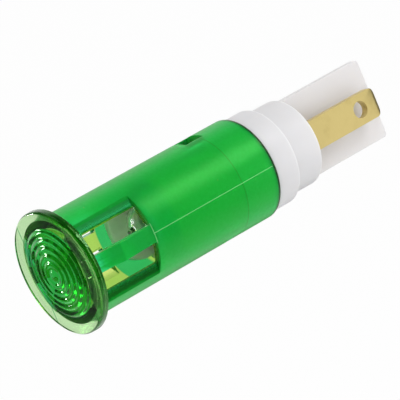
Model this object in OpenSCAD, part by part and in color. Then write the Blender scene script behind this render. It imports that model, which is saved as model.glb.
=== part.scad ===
// Panel pilot light: a one-piece translucent lens body that snaps into a round panel
// hole, closed at the rear by a white terminal base that carries a neon glow lamp, its
// series resistor and two blade terminals.
// Frame: +Y runs rearwards along the axis, +Z is up, the terminals face +X and -X, and
// the origin is the centre of the face that seats on the front of the panel.

/* [Tube] */
// Outer diameter of the tube that passes through the panel
tube_d = 9.8; // [9:0.1:11]
// Wall of the tube
tube_wall = 0.75; // [0.6:0.05:0.9]
// Length of the tube behind the panel face
tube_l = 21.3; // [20:0.1:26]
// Radius on the outer edge of the rear rim
rim_round = 0.25; // [0.1:0.05:0.4]
// Wall left around the base plug, where the bore widens
seat_wall = 0.55; // [0.45:0.05:0.6]
// Depth of the wide bore, from the rear rim
seat_depth = 3.8; // [2.5:0.1:4.2]

/* [Flange and lens] */
// Diameter of the flange
flange_d = 11.65; // [11.4:0.05:14]
// Thickness of the flange
flange_t = 0.75; // [0.6:0.05:1.5]
// Radius on the front edge of the flange
flange_round = 0.2; // [0.1:0.05:0.4]
// Diameter of the lens face inside the plain rim
lens_d = 8.8; // [8:0.1:9.6]
// How far the middle of the lens stands proud of the flange
lens_rise = 0.45; // [0.2:0.05:1]
// How far the back of the lens reaches into the tube
lens_back = 1; // [0.5:0.1:1.4]
// Distance from one lens ring to the next
ring_pitch = 0.7; // [0.5:0.05:1]
// Depth of the groove between two lens rings
ring_depth = 0.12; // [0.05:0.01:0.2]
// Width of that groove
ring_gap = 0.2; // [0.1:0.02:0.3]

/* [Windows and snap bars] */
// Length of the two side windows
window_l = 6.8; // [6:0.1:7]
// Distance from the axis to the flat that cuts each window
window_flat = 3.25; // [3:0.05:3.5]
// Width of the snap bar left standing in each window
bar_w = 1.6; // [1.2:0.1:2.2]
// Distance from the panel face to the crest of a snap bar
crest_y = 2.95; // [2:0.05:4]
// How far the crest stands out past the tube
crest_rise = 0.35; // [0.1:0.05:0.5]
// Length of the flat on top of the crest
crest_l = 0.2; // [0.1:0.05:0.4]
// Thickest panel that the snap bars take before they steepen
grip_y = 2.1; // [1.2:0.1:2.4]
// How far the root of a snap bar lies below the tube
root_drop = 0.2; // [0.1:0.05:0.5]
// Length of a snap bar's rear end that runs flush with the tube
flush_l = 0.5; // [0.3:0.1:1.5]
// How far the floor of a window is sunk into the back of the flange
floor_step = 0.05; // [0.02:0.01:0.1]

/* [Latch] */
// Width of a latch slot
slot_w = 2.6; // [2:0.1:3.2]
// Length of a latch slot along the tube
slot_l = 2.05; // [1.6:0.05:2.4]
// Distance from the tube's rear rim forward to the front edge of a latch slot
slot_reach = 5.65; // [5.4:0.05:6]
// How far a latch lug stands out past the bore
lug_rise = 0.2; // [0.15:0.05:0.55]
// Clearance between a lug and its slot, all round
lug_gap = 0.1; // [0.05:0.05:0.2]

/* [Base] */
// Clearance between the base and the bore of the tube, per side
slide_gap = 0.08; // [0.05:0.01:0.12]
// Diameter of the collar behind the tube
collar_d = 9.3; // [9:0.1:9.8]
// Length of the collar
collar_l = 2.6; // [1.5:0.1:4]
// Diameter of the neck behind the collar
neck_d = 8.4; // [8.2:0.1:8.8]
// Length of the neck
neck_l = 3.2; // [2:0.1:5]
// Edge chamfer of collar, neck and sleeve
edge_cut = 0.18; // [0.05:0.01:0.25]
// Wall of the sleeve that slides into the tube
sleeve_wall = 0.65; // [0.5:0.05:0.75]
// Length of that sleeve in front of the collar
sleeve_l = 11.3; // [10.6:0.1:11.8]
// How far the two lamp cheeks reach forward past the sleeve
cheek_l = 2.1; // [1:0.1:2.8]
// Width of a lamp cheek
cheek_w = 6.1; // [4:0.1:6.4]
// Corner radius at the front of a lamp cheek
cheek_round = 1.2; // [0.5:0.1:2]
// Width of the spring tongue that carries a latch lug
tongue_w = 3; // [2.8:0.1:3.6]
// Width of the slits beside a tongue
slit_w = 0.4; // [0.3:0.05:0.5]
// Thickness of the rear wall
rear_wall = 1.75; // [1.2:0.05:2.5]
// Thickness of the saddle ribs that hold the lamp
saddle_t = 0.8; // [0.6:0.1:1]
// Clearance of a saddle rib around the glass
saddle_gap = 0.06; // [0.04:0.02:0.1]

/* [Barrier] */
// Width of the barrier plate between the terminals
barrier_w = 7.7; // [5:0.1:8]
// Thickness of the barrier plate
barrier_t = 0.8; // [0.6:0.1:1.2]
// Length of the barrier plate behind the neck
barrier_l = 10.2; // [9.4:0.1:14]
// Corner radius of the barrier plate
barrier_round = 0.35; // [0.2:0.05:1]

/* [Terminals] */
// Width of a blade terminal
tab_w = 2.8; // [2.4:0.1:3]
// Thickness of a blade terminal
tab_t = 0.8; // [0.5:0.1:0.8]
// Length of a blade behind the neck
tab_l = 9.1; // [6.5:0.1:9.2]
// Distance from the axis to the middle of a blade
tab_x = 2.12; // [2:0.01:2.3]
// Corner radius at the tip of a blade
tab_round = 0.65; // [0.3:0.05:1]
// Length of the lead-in chamfer at the tip of a blade
tab_lead = 0.35; // [0.1:0.05:0.6]
// Diameter of the wire hole in a blade
eye_d = 1.6; // [1:0.1:1.6]
// Distance from the middle of the wire hole to the tip
eye_y = 2.2; // [1.5:0.1:3]
// Clearance of a blade in its slot, per side
tab_gap = 0.04; // [0.02:0.01:0.06]
// Width over the shoulders that stop a blade at the rear wall
shoulder_w = 3.5; // [3.2:0.1:3.8]
// Length of the shoulders
shoulder_l = 0.8; // [0.5:0.1:1]
// Width of the solder tail inside the base
tail_w = 1.6; // [1.2:0.1:1.8]
// Length of the solder tail in front of the shoulders
tail_l = 2.1; // [1.8:0.1:2.3]
// Diameter of the lead hole in the tail
tail_hole_d = 0.6; // [0.55:0.05:0.7]

/* [Lamp] */
// Outer diameter of the lamp glass
lamp_d = 4; // [3:0.1:4.4]
// Wall of the lamp glass
glass_wall = 0.35; // [0.25:0.05:0.5]
// How far the lamp reaches forward of the collar
lamp_reach = 13.9; // [13.5:0.1:14.2]
// Length of the sealed nipple
nipple_l = 0.6; // [0.3:0.1:0.8]
// Overall length of the lamp glass
lamp_l = 9.4; // [9:0.1:9.6]
// Length of the flat pinch that seals the rear of the glass
pinch_l = 1.8; // [1.5:0.1:2]
// Width of the pinch
pinch_w = 3; // [2.6:0.1:3]
// Thickness of the pinch
pinch_t = 1.3; // [1:0.1:1.5]
// Thickness of the glass floor in front of the pinch
heel_t = 0.5; // [0.3:0.1:0.8]
// Diameter of an electrode rod
rod_d = 0.7; // [0.5:0.1:0.8]
// Length of an electrode rod
rod_l = 4.4; // [3:0.1:4.6]
// Distance between the two electrode rods
rod_pitch = 1.5; // [1.3:0.05:1.6]
// Diameter of a lamp lead
lead_d = 0.4; // [0.3:0.05:0.45]
// Bend radius of the lamp leads
bend_r = 0.3; // [0.2:0.05:0.3]

/* [Resistor] */
// Diameter of the resistor body over its ends
res_d = 1.9; // [1.6:0.05:1.9]
// Length of the resistor body
res_l = 3.6; // [3:0.1:3.6]
// Diameter of the body between its ends
res_waist_d = 1.6; // [1.4:0.05:1.7]
// Length of each full-width end
res_cap_l = 0.75; // [0.5:0.05:1]
// Corner radius of the body's ends
res_round = 0.25; // [0.1:0.05:0.4]
// Depth that a lead reaches into the body
res_seat = 0.3; // [0.2:0.05:0.5]
// Diameter of a resistor lead
res_lead_d = 0.45; // [0.4:0.05:0.5]
// Length of the soldered lap between resistor lead and lamp lead
lap_l = 0.8; // [0.6:0.1:0.9]
// Bare lead in front of the lap and behind it
bare_l = 0.35; // [0.2:0.05:0.4]
// How far a lead passes through its solder tail
lead_out = 0.35; // [0.2:0.05:0.5]
// Thickness of solder over a lead
solder_t = 0.08; // [0.05:0.01:0.12]
// Outer diameter of the insulating sleeve on the straight lamp lead
tubing_d = 0.8; // [0.7:0.05:0.9]

/* [Hidden] */
$fn = 96;
fine = 32;        // facets of small rounds
eps = 0.01;       // overlap that joins solids
over = 1;         // how far a cutting tool runs past what it cuts
seal_gap = 0.02;  // drawn gap around a wire that is sealed or soldered in

tube_r = tube_d / 2;
bore_r = tube_r - tube_wall;
seat_r = tube_r - seat_wall;
seat_y = tube_l - seat_depth;
lens_r = lens_d / 2;
flange_r = flange_d / 2;
slot_y = tube_l - slot_reach;        // front edge of a latch slot

sleeve_r = bore_r - slide_gap;
plug_r = seat_r - slide_gap;
cavity_r = sleeve_r - sleeve_wall;
sleeve_y = tube_l - sleeve_l;        // front edge of the sleeve
cheek_y = sleeve_y - cheek_l;        // front edge of the lamp cheeks
collar_y = tube_l + collar_l;
neck_y = collar_y + neck_l;
rear_y = neck_y - rear_wall;         // inner face of the rear wall
lug_r = bore_r + lug_rise;
lug_y = slot_y + lug_gap;
lug_end = slot_y + slot_l - lug_gap;
slit_end = seat_y - slit_w;

tip_y = neck_y + tab_l;
shoulder_y = rear_y - shoulder_l;
tail_y = shoulder_y - tail_l;
tail_hole_y = tail_y + tail_w / 2;

lamp_r = lamp_d / 2;
lamp_y = tube_l - lamp_reach;        // tip of the sealed nipple
dome_y = lamp_y + nipple_l;          // front of the glass dome
pinch_y = lamp_y + lamp_l - pinch_l; // front of the pinch
lamp_end = lamp_y + lamp_l;
heel_y = pinch_y - heel_t;           // inside end of the glass chamber
rod_end = heel_y - lead_d;           // where an electrode meets its lead
rod_y = rod_end - rod_l;             // front tips of the electrodes
rod_x = rod_pitch / 2;
saddle_ys = [sleeve_y, heel_y - 2 * saddle_t];

lap_y = lamp_end + bare_l;           // front end of the soldered lap
lap_drop = (lead_d + res_lead_d) / 2 + seal_gap;  // lamp lead down to resistor lead
res_y = lap_y + lap_l + bare_l;      // front end of the resistor body
res_end = res_y + res_l;             // rear end of the resistor body
run_x = tab_x - (tab_t + lead_d) / 2 - seal_gap;  // straight lamp lead, beside its tail
jog_y = lamp_end + lead_d;           // the right lamp lead is cranked outwards from here
jog_end = jog_y + 2 * lead_d;        // to here
lead_tip_x = tab_x + tab_t / 2 + lead_out;        // end of a lead, outside its tail

// ---------- helpers ----------

// Turns children so that their +Z axis runs rearwards along +Y.
module rearward() {
    rotate([-90, 0, 0]) children();
}

// Revolves a profile of [radius, distance behind the panel face] points about the axis.
module revolved(points) {
    rearward() rotate_extrude() polygon(points);
}

// Cylinder about the axis, from one distance behind the panel face to another.
module drum(r, y0, y1) {
    translate([0, y0, 0]) rearward() cylinder(r = r, h = y1 - y0);
}

// Block given by its middle in X and Z and its extent in Y.
module block(x, z, w, y0, y1, h) {
    translate([x - w / 2, y0, z - h / 2]) cube([w, y1 - y0, h]);
}

// Two copies, the second turned half a turn about the axis.
module both_sides() {
    for (turn = [0, 180]) rotate([0, turn, 0]) children();
}

// Points of an arc round a centre.
function arc(cx, cy, r, a0, a1, n = 6) =
    [for (i = [0 : n]) let (a = a0 + (a1 - a0) * i / n) [cx + r * cos(a), cy + r * sin(a)]];

// Flat plate in the YZ plane with rounded rear corners, its middle at x.
module plate(x, t, w, y0, y1, r) {
    translate([x + t / 2, 0, 0]) rotate([0, -90, 0]) linear_extrude(t) {
        translate([-w / 2, y0]) square([w, y1 - y0 - r]);
        translate([-w / 2 + r, y0]) square([w - 2 * r, y1 - y0]);
        for (side = [-1, 1])
            translate([side * (w / 2 - r), y1 - r]) circle(r = r, $fn = fine);
    }
}

// Straight round rod along Y.
module rod(x, z, d, y0, y1) {
    translate([x, y0, z]) rearward() cylinder(d = d, h = y1 - y0, $fn = fine);
}

function unit(v) = v / norm(v);

// Path through a list of points, with each inner corner rounded over a distance r.
function rounded_path(points, r, steps = 4) = let (last = len(points) - 1) [
    points[0],
    for (i = [1 : last - 1]) let (
        p = points[i],
        a = p - r * unit(p - points[i - 1]),
        b = p + r * unit(points[i + 1] - p)
    ) for (j = [0 : steps]) let (t = j / steps)
        (1 - t) * (1 - t) * a + 2 * t * (1 - t) * p + t * t * b,
    points[last]
];

// Round wire swept along a path that lies near the XY plane.
module bent_wire(path, d, sides = 12) {
    last = len(path) - 1;
    rings = [for (i = [0 : last]) let (
        t = unit(path[min(i + 1, last)] - path[max(i - 1, 0)]),
        u = unit(cross(t, [0, 0, 1])),
        v = cross(u, t)
    ) for (k = [0 : sides - 1]) let (a = 360 * k / sides)
        path[i] + d / 2 * (u * cos(a) + v * sin(a))];
    walls = [for (i = [0 : last - 1], k = [0 : sides - 1]) let (
        n = (k + 1) % sides, ring = i * sides
    ) [ring + k, ring + n, ring + sides + n, ring + sides + k]];
    start = [for (k = [sides - 1 : -1 : 0]) k];
    end = [for (k = [0 : sides - 1]) last * sides + k];
    polyhedron(rings, concat(walls, [start, end]));
}

// ---------- lens body ----------

// Height of the smooth lens face at a radius.
function face_y(r) = -flange_t - lens_rise * (1 - pow(r / lens_r, 2));

ring_count = floor((lens_r - ring_gap / 2) / ring_pitch);

// The disc: flange, ringed lens face and thick lens back, as one revolved profile.
module lens_disc() {
    grooves = [for (i = [1 : ring_count]) let (r = i * ring_pitch, h = ring_gap / 2) each [
        [r - h, face_y(r - h)],
        [r, face_y(r) + ring_depth],
        [r + h, face_y(r + h)]
    ]];
    corner = arc(flange_r - flange_round, flange_round - flange_t, flange_round, -90, 0);
    difference() {
        revolved(concat(
            [[0, face_y(0)]], grooves, [[lens_r, -flange_t]], corner,
            [[flange_r, 0], [bore_r + eps, 0], [bore_r + eps, lens_back], [0, lens_back]]
        ));
        window_cuts(lens_back + over);
    }
}

// The two window flats, cut from the floor in the back of the flange up to a distance.
module window_cuts(y) {
    intersection() {
        both_sides() block(window_flat + tube_r, 0, tube_d, -floor_step, y, tube_d);
        drum(tube_r, -floor_step - over, y + over);
    }
}

// The tube: round wall, side windows, wide rear bore and latch slots.
module tube() {
    rim = arc(tube_r - rim_round, tube_l - rim_round, rim_round, 0, 90);
    difference() {
        revolved(concat(
            [[bore_r, -eps], [tube_r, -eps]], rim,
            [[seat_r, tube_l], [seat_r, seat_y], [bore_r, seat_y]]
        ));
        both_sides() block(window_flat + tube_r, 0, tube_d, -over, window_l, tube_d);
        both_sides() rotate([0, -90, 0])
            block(tube_r, 0, tube_r, slot_y, slot_y + slot_l, slot_w);
    }
}

// The two snap bars: flush at the rear, rising to a crest, then falling steeply to the
// shallow face that bears on the edge of the panel hole.
module snap_bars() {
    crest_r = tube_r + crest_rise;
    root_y = -floor_step - eps;
    intersection() {
        revolved([
            [bore_r, root_y], [tube_r - root_drop, root_y], [tube_r, grip_y],
            [crest_r, crest_y], [crest_r, crest_y + crest_l], [tube_r, window_l - flush_l],
            [tube_r, window_l + eps], [bore_r, window_l + eps]
        ]);
        block(0, 0, 2 * flange_d, -flange_t, window_l + over, bar_w);
    }
}

module lens_body() {
    color("limegreen", 0.6) union() {
        lens_disc();
        tube();
        snap_bars();
    }
}

// ---------- terminal base ----------

// Outside of the base as a revolved profile, from the sleeve's front edge to the neck.
module base_shell() {
    c = edge_cut;
    difference() {
        revolved([
            [0, sleeve_y], [sleeve_r - c, sleeve_y], [sleeve_r, sleeve_y + c],
            [sleeve_r, seat_y + slide_gap], [plug_r, seat_y + slide_gap], [plug_r, tube_l],
            [collar_d / 2, tube_l], [collar_d / 2, collar_y - c],
            [collar_d / 2 - c, collar_y], [neck_d / 2, collar_y], [neck_d / 2, neck_y - c],
            [neck_d / 2 - c, neck_y], [0, neck_y]
        ]);
        drum(cavity_r, sleeve_y - over, rear_y);
    }
}

// The two cheeks that reach forward past the sleeve beside the lamp.
module cheeks() {
    difference() {
        intersection() {
            drum(sleeve_r, cheek_y, sleeve_y + eps);
            rotate([0, 0, 180]) translate([0, -2 * sleeve_y, 0])
                plate(0, 2 * tube_d, cheek_w, sleeve_y - over, sleeve_y + cheek_l, cheek_round);
        }
        drum(cavity_r, cheek_y - over, sleeve_y + over);
    }
}

// Ribs inside the sleeve that hold the lamp glass from both sides.
module saddle_ribs() {
    outer_x = cavity_r + sleeve_wall / 2;
    difference() {
        both_sides() for (y = saddle_ys)
            block((lamp_r + outer_x) / 2, 0, outer_x - lamp_r + glass_wall, y, y + saddle_t, lamp_r);
        drum(lamp_r + saddle_gap, lamp_y, lamp_end);
    }
}

// Latch lug with a ramp at its front, on the top and the bottom tongue.
module latch_lugs() {
    root_r = cavity_r + sleeve_wall / 2;
    intersection() {
        revolved([
            [root_r, lug_y], [sleeve_r, lug_y], [lug_r, (lug_y + lug_end) / 2],
            [lug_r, lug_end], [root_r, lug_end]
        ]);
        block(0, 0, slot_w - 2 * lug_gap, lug_y - over, lug_end + over, tube_d);
    }
}

// Slits that free the two spring tongues.
module tongue_slits() {
    for (side = [-1, 1])
        block(side * (tongue_w + slit_w) / 2, 0, slit_w, sleeve_y - over, slit_end, tube_d);
}

// Slots through the rear wall for the blades.
module blade_slots() {
    both_sides()
        block(tab_x, 0, tab_t + 2 * tab_gap, rear_y - over, neck_y + over, tab_w + 2 * tab_gap);
}

module base() {
    color("white") difference() {
        union() {
            difference() {
                base_shell();
                tongue_slits();
            }
            cheeks();
            saddle_ribs();
            latch_lugs();
            plate(0, barrier_t, barrier_w, neck_y - edge_cut, neck_y + barrier_l, barrier_round);
        }
        blade_slots();
    }
}

// ---------- terminals ----------

// Blade with rounded, chamfered tip, stop shoulders and solder tail.
module terminal() {
    flare = (tab_t - tab_lead) / 2;      // half thickness left at the tip
    color("goldenrod") difference() {
        intersection() {
            union() {
                plate(tab_x, tab_t, tab_w, rear_y - eps, tip_y, tab_round);
                block(tab_x, 0, tab_t, shoulder_y, rear_y, shoulder_w);
                block(tab_x, 0, tab_t, tail_y, shoulder_y + eps, tail_w);
            }
            translate([tab_x, 0, -tab_w]) linear_extrude(2 * tab_w) polygon([
                [-tab_t / 2, tail_y], [tab_t / 2, tail_y], [tab_t / 2, tip_y - tab_lead],
                [flare, tip_y], [-flare, tip_y], [-tab_t / 2, tip_y - tab_lead]
            ]);
        }
        translate([0, tip_y - eye_y, 0]) rotate([0, 90, 0]) cylinder(d = eye_d, h = tube_d);
        translate([0, tail_hole_y, 0]) rotate([0, 90, 0])
            cylinder(d = tail_hole_d, h = tube_d, $fn = fine);
    }
}

// ---------- glow lamp ----------

// Glass envelope: sealed nipple, dome, straight wall, shoulder and flat pinch.
module lamp_glass() {
    inner_r = lamp_r - glass_wall;
    dome_h = lamp_r * 0.75;
    dome_end = dome_y + dome_h;
    inner_h = dome_h - glass_wall;
    nipple_r = glass_wall;
    outer = [for (a = [90 : -9 : 18]) [lamp_r * cos(a), dome_end - dome_h * sin(a)]];
    inner = [for (a = [0 : 9 : 90]) [inner_r * cos(a), dome_end - inner_h * sin(a)]];
    color("lightcyan", 0.4) difference() {
        union() {
            revolved(concat(
                outer, [[lamp_r, dome_end], [lamp_r, heel_y - glass_wall]],
                [[pinch_t / 2, pinch_y], [0, pinch_y], [0, heel_y]],
                [[inner_r - glass_wall, heel_y], [inner_r, heel_y - glass_wall]], inner
            ));
            revolved([
                [0, lamp_y], [nipple_r * 0.55, lamp_y + nipple_l * 0.13],
                [nipple_r * 0.8, lamp_y + nipple_l * 0.4], [nipple_r, dome_y],
                [nipple_r, dome_y + glass_wall / 2], [0, dome_y + glass_wall / 2]
            ]);
            pinch();
        }
        for (side = [-1, 1])
            rod(side * rod_x, 0, lead_d + 2 * seal_gap, rod_end, lamp_end + over);
    }
}

// Flat seal at the rear of the glass.
module pinch() {
    intersection() {
        block(0, 0, pinch_w, heel_y, lamp_end, pinch_t);
        drum(lamp_r, heel_y, lamp_end);
    }
}

// Electrode rod with a round tip.
module electrode(side) {
    color("silver") translate([side * rod_x, 0, 0]) {
        translate([0, rod_y + rod_d / 2, 0]) rearward()
            cylinder(d = rod_d, h = rod_l - rod_d / 2, $fn = fine);
        translate([0, rod_y + rod_d / 2, 0]) sphere(d = rod_d, $fn = fine);
    }
}

// Lead from the right electrode, through the pinch, to the right solder tail.
module lamp_lead_right() {
    color("peru") bent_wire(rounded_path([
        [rod_x, rod_end, 0], [rod_x, jog_y, 0], [run_x, jog_end, 0],
        [run_x, tail_hole_y, 0], [lead_tip_x, tail_hole_y, 0]
    ], bend_r), lead_d);
}

// Lead from the left electrode, through the pinch, to the soldered lap.
module lamp_lead_left() {
    color("peru") rod(-rod_x, 0, lead_d, rod_end, lap_y + lap_l);
}

// Insulating tubing on the straight run of the right lamp lead.
module lead_tubing() {
    y0 = jog_end + bend_r;
    y1 = tail_y - bend_r;
    color("ivory") difference() {
        rod(run_x, 0, tubing_d, y0, y1);
        rod(run_x, 0, lead_d + 2 * seal_gap, y0 - over, y1 + over);
    }
}

// ---------- series resistor ----------

// Lacquered body with full ends and a slimmer waist.
module resistor_body() {
    r = res_d / 2;
    w = res_waist_d / 2;
    e = res_round;
    waist_y = res_cap_l + 2 * (r - w);
    color("tan") difference() {
        translate([-rod_x, res_y, -lap_drop]) rearward() rotate_extrude() polygon(concat(
            [[0, 0]], arc(r - e, e, e, -90, 0),
            [[r, res_cap_l], [w, waist_y], [w, res_l - waist_y], [r, res_l - res_cap_l]],
            arc(r - e, res_l - e, e, 0, 90), [[0, res_l]]
        ));
        rod(-rod_x, -lap_drop, res_lead_d, res_y - over, res_y + res_seat);
        rod(-rod_x, -lap_drop, res_lead_d, res_end - res_seat, res_end + over);
    }
}

// Front resistor lead, lapped under the left lamp lead.
module resistor_lead_front() {
    color("lightgray") rod(-rod_x, -lap_drop, res_lead_d, lap_y, res_y + res_seat);
}

// Rear resistor lead, bent across into the left solder tail.
module resistor_lead_rear() {
    turn = res_seat / 2;
    color("lightgray") bent_wire(rounded_path([
        [-rod_x, res_end - res_seat, -lap_drop], [-rod_x, res_end + turn, -lap_drop],
        [-rod_x - res_seat, tail_hole_y, 0], [-lead_tip_x, tail_hole_y, 0]
    ], turn), res_lead_d);
}

// ---------- solder ----------

// Bead of solder round the two lapped leads.
module solder_lap() {
    bead_r = (lap_drop + max(lead_d, res_lead_d)) / 2 + solder_t;
    l = lap_l * 0.75;
    y0 = lap_y + (lap_l - l) / 2;
    color("silver") difference() {
        translate([-rod_x, y0, -lap_drop / 2]) rearward() rotate_extrude() polygon([
            [0, 0], [bead_r * 0.7, 0], [bead_r, l * 0.3], [bead_r, l * 0.7],
            [bead_r * 0.7, l], [0, l]
        ]);
        lamp_lead_left();
        resistor_lead_front();
    }
}

// Fillet of solder on the outer face of a tail, round the lead that comes through.
module solder_fillet(side, d) {
    x = tab_x + tab_t / 2;
    color("silver") translate([side * x, tail_hole_y, 0]) rotate([0, side * 90, 0])
        difference() {
            cylinder(
                r1 = tail_w / 2 - solder_t, r2 = d / 2 + solder_t, h = lead_out * 0.8, $fn = fine
            );
            translate([0, 0, -over]) cylinder(d = d, h = lead_out + 2 * over, $fn = fine);
        }
}

lens_body();
base();
terminal();  // terminal_right
rotate([0, 180, 0]) terminal();  // terminal_left
lamp_glass();
electrode(1);  // electrode_right
electrode(-1);  // electrode_left
lamp_lead_right();
lamp_lead_left();
resistor_body();
resistor_lead_front();
resistor_lead_rear();
lead_tubing();
solder_lap();
solder_fillet(1, lead_d);  // solder_right
solder_fillet(-1, res_lead_d);  // solder_left
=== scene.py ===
"""Looks of a snap-in panel pilot light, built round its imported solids.

The light is a one-piece green polycarbonate lens body closed by a white nylon base.
The base carries a neon glow lamp, its series resistor and two brass blades.  All
sizes in the classes are millimetres in the frame of the solids: +Y runs rearwards
along the axis, +Z is up, and the origin lies on the face that seats on the panel.
"""

import logging
import math
from dataclasses import dataclass
from enum import Enum
from typing import Dict, List, Optional, Sequence, Tuple, Union

import bmesh
import bpy
from mathutils import Matrix, Vector


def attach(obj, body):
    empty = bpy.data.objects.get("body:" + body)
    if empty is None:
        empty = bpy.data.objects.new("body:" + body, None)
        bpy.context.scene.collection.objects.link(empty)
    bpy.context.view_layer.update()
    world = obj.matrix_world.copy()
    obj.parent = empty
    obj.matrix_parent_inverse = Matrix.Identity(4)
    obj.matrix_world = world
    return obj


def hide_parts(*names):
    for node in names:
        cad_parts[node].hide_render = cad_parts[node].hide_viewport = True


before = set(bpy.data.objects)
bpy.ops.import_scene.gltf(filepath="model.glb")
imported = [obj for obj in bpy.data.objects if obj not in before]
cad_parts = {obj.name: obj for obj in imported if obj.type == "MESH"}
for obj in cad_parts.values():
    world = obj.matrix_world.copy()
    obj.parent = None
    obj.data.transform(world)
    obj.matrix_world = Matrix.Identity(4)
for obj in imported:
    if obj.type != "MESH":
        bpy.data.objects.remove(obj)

LOG = logging.getLogger("pilot_light")
MM = 0.001

Point2 = Tuple[float, float]
Point3 = Tuple[float, float, float]
Colour = Tuple[float, float, float]
Value = Union["Sock", float, Sequence[float]]


# ---------------------------------------------------------------- shader graphs


class Sock:
    """Output socket of a shader node that takes part in Python arithmetic."""

    def __init__(self, graph: "Graph", node: bpy.types.Node, name: Union[str, int] = 0) -> None:
        """Keeps the graph, the node and which of its outputs this is.

        Args:
            graph: Graph that the node belongs to.
            node: Node whose output is wrapped.
            name: Name or index of the output.
        """
        self.graph = graph
        self.node = node
        self.link = node.outputs[name]

    def part(self, name: Union[str, int]) -> "Sock":
        """Returns another output of the same node."""
        return Sock(self.graph, self.node, name)

    def __add__(self, other: Value) -> "Sock":
        """Adds a number or socket."""
        return self.graph.maths("ADD", self, other)

    def __radd__(self, other: Value) -> "Sock":
        """Adds this socket to a number."""
        return self.graph.maths("ADD", other, self)

    def __sub__(self, other: Value) -> "Sock":
        """Takes a number or socket away."""
        return self.graph.maths("SUBTRACT", self, other)

    def __rsub__(self, other: Value) -> "Sock":
        """Takes this socket away from a number."""
        return self.graph.maths("SUBTRACT", other, self)

    def __mul__(self, other: Value) -> "Sock":
        """Multiplies by a number or socket."""
        return self.graph.maths("MULTIPLY", self, other)

    def __rmul__(self, other: Value) -> "Sock":
        """Multiplies a number by this socket."""
        return self.graph.maths("MULTIPLY", other, self)

    def __gt__(self, other: Value) -> "Sock":
        """Gives 1 where this socket is the larger one."""
        return self.graph.maths("GREATER_THAN", self, other)

    def __lt__(self, other: Value) -> "Sock":
        """Gives 1 where this socket is the smaller one."""
        return self.graph.maths("LESS_THAN", self, other)

    def __abs__(self) -> "Sock":
        """Gives the value without its sign."""
        return self.graph.maths("ABSOLUTE", self)


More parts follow.
